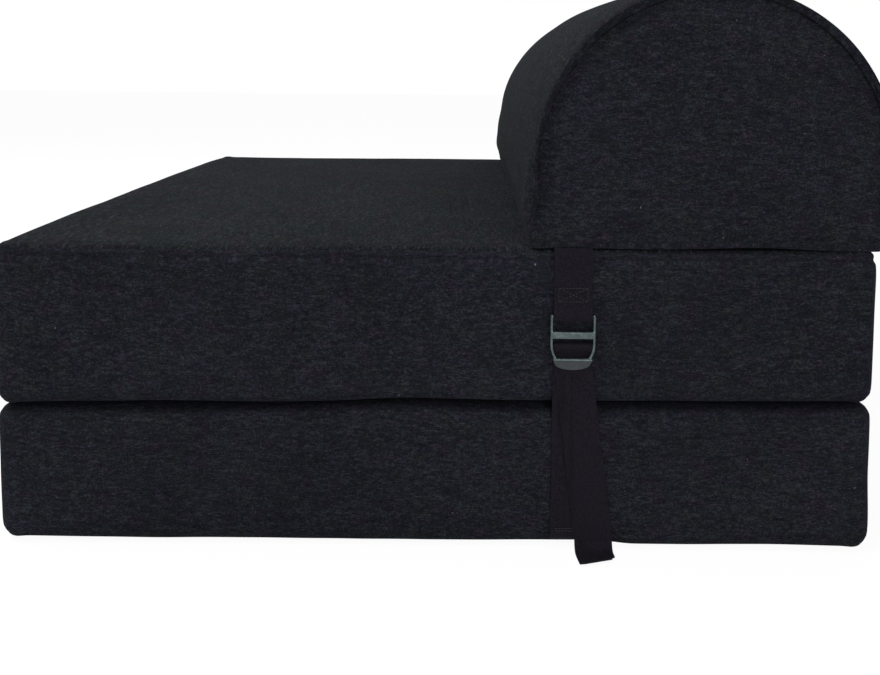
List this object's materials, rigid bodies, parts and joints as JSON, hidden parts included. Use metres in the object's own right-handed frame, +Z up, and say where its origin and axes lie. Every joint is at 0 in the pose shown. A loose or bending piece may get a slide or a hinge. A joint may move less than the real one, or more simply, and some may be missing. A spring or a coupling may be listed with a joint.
{
  "type": "folding foam chair bed",
  "caption": "Folding foam chair bed: two stacked foam sections that unfold into a low bed, a round-topped bolster as the back, and webbing straps with ladder buckles.",
  "frame": {"origin": "on the floor, under the middle of the lower section", "axes": "+X from the front of the seat to the back, +Y to the far side, +Z up"},
  "size_m": [0.9036, 0.8754, 0.5679],
  "materials": {
    "cover_fabric": "matte",
    "webbing": "matte",
    "foam": "matte",
    "buckle_plastic": "gloss",
    "zip_tape": "matte",
    "zip_metal": "satin"
  },
  "bodies": {
    "lower_section": {"lower_foam_core": "foam", "lower_top_panel": "cover_fabric", "lower_boxing_band": "cover_fabric", "lower_bottom_panel": "cover_fabric", "lower_fold_leaf": "cover_fabric", "lower_zip_tape": "zip_tape", "near_lower_strap": "webbing", "near_strap_tail": "webbing", "far_lower_strap": "webbing", "far_strap_tail": "webbing"},
    "upper_section": {"upper_foam_core": "foam", "upper_top_panel": "cover_fabric", "upper_boxing_band": "cover_fabric", "upper_bottom_panel": "cover_fabric", "upper_fold_leaf": "cover_fabric", "upper_bolster_leaf": "cover_fabric", "upper_zip_tape": "zip_tape"},
    "bolster": {"bolster_foam_core": "foam", "bolster_wrap_panel": "cover_fabric", "bolster_base_panel": "cover_fabric", "bolster_near_end_panel": "cover_fabric", "bolster_far_end_panel": "cover_fabric", "bolster_leaf": "cover_fabric", "bolster_zip_tape": "zip_tape"},
    "near_strap": {"near_upper_strap": "webbing"},
    "near_buckle_body": {"near_buckle": "buckle_plastic"},
    "far_strap": {"far_upper_strap": "webbing"},
    "far_buckle_body": {"far_buckle": "buckle_plastic"},
    "lower_slider": {"lower_zip_slider": "zip_metal"},
    "lower_pull": {"lower_zip_pull": "zip_metal"},
    "upper_slider": {"upper_zip_slider": "zip_metal"},
    "upper_pull": {"upper_zip_pull": "zip_metal"},
    "bolster_slider": {"bolster_zip_slider": "zip_metal"},
    "bolster_pull": {"bolster_zip_pull": "zip_metal"}
  },
  "joints": [
    {"name": "unfold", "type": "hinge", "parent": "lower_section", "child": "upper_section", "pos_m": [-0.44595, 0, 0.1523], "axis": [0, -1, 0], "range_deg": [0, 180], "deforming": ["near_lower_strap", "near_strap_tail", "far_lower_strap", "far_strap_tail"]},
    {"name": "bolster_fold", "type": "hinge", "parent": "upper_section", "child": "bolster", "pos_m": [0.45795, 0, 0.30475], "axis": [0, 1, 0], "range_deg": [0, 180]},
    {"name": "near_strap_swing", "type": "hinge", "parent": "bolster", "child": "near_strap", "pos_m": [0.1365, -0.40279, 0.3052], "axis": [-1, 0, 0], "range_deg": [0, 90]},
    {"name": "near_buckle_tilt", "type": "hinge", "parent": "near_strap", "child": "near_buckle_body", "pos_m": [0.1365, -0.40929, 0.2379], "axis": [-1, 0, 0], "range_deg": [0, 35], "deforming": ["near_lower_strap", "near_strap_tail"]},
    {"name": "far_strap_swing", "type": "hinge", "parent": "bolster", "child": "far_strap", "pos_m": [0.1365, 0.40279, 0.3052], "axis": [1, 0, 0], "range_deg": [0, 90]},
    {"name": "far_buckle_tilt", "type": "hinge", "parent": "far_strap", "child": "far_buckle_body", "pos_m": [0.1365, 0.40929, 0.2379], "axis": [1, 0, 0], "range_deg": [0, 35], "deforming": ["far_lower_strap", "far_strap_tail"]},
    {"name": "lower_zip_slide", "type": "slide", "parent": "lower_section", "child": "lower_slider", "axis": [1, 0, 0], "range_m": [0, 0.4123]},
    {"name": "lower_pull_flip", "type": "hinge", "parent": "lower_slider", "child": "lower_pull", "pos_m": [-0.32782, 0.41199, 0.076], "axis": [0, 0, -1], "range_deg": [0, 150]},
    {"name": "upper_zip_slide", "type": "slide", "parent": "upper_section", "child": "upper_slider", "axis": [1, 0, 0], "range_m": [0, 0.4123]},
    {"name": "upper_pull_flip", "type": "hinge", "parent": "upper_slider", "child": "upper_pull", "pos_m": [-0.32782, 0.41199, 0.2286], "axis": [0, 0, -1], "range_deg": [0, 150]},
    {"name": "bolster_zip_slide", "type": "slide", "parent": "bolster", "child": "bolster_slider", "axis": [1, 0, 0], "range_m": [0, 0.24]},
    {"name": "bolster_pull_flip", "type": "hinge", "parent": "bolster_slider", "child": "bolster_pull", "pos_m": [0.1555, 0.4109, 0.3499], "axis": [0, 0, -1], "range_deg": [0, 150]}
  ],
  "couplings": [
    {"joint": "bolster_fold", "follows": "unfold", "ratio": 1},
    {"joint": "near_strap_swing", "follows": "unfold", "ratio": 0.48889},
    {"joint": "far_strap_swing", "follows": "unfold", "ratio": 0.48889}
  ]
}
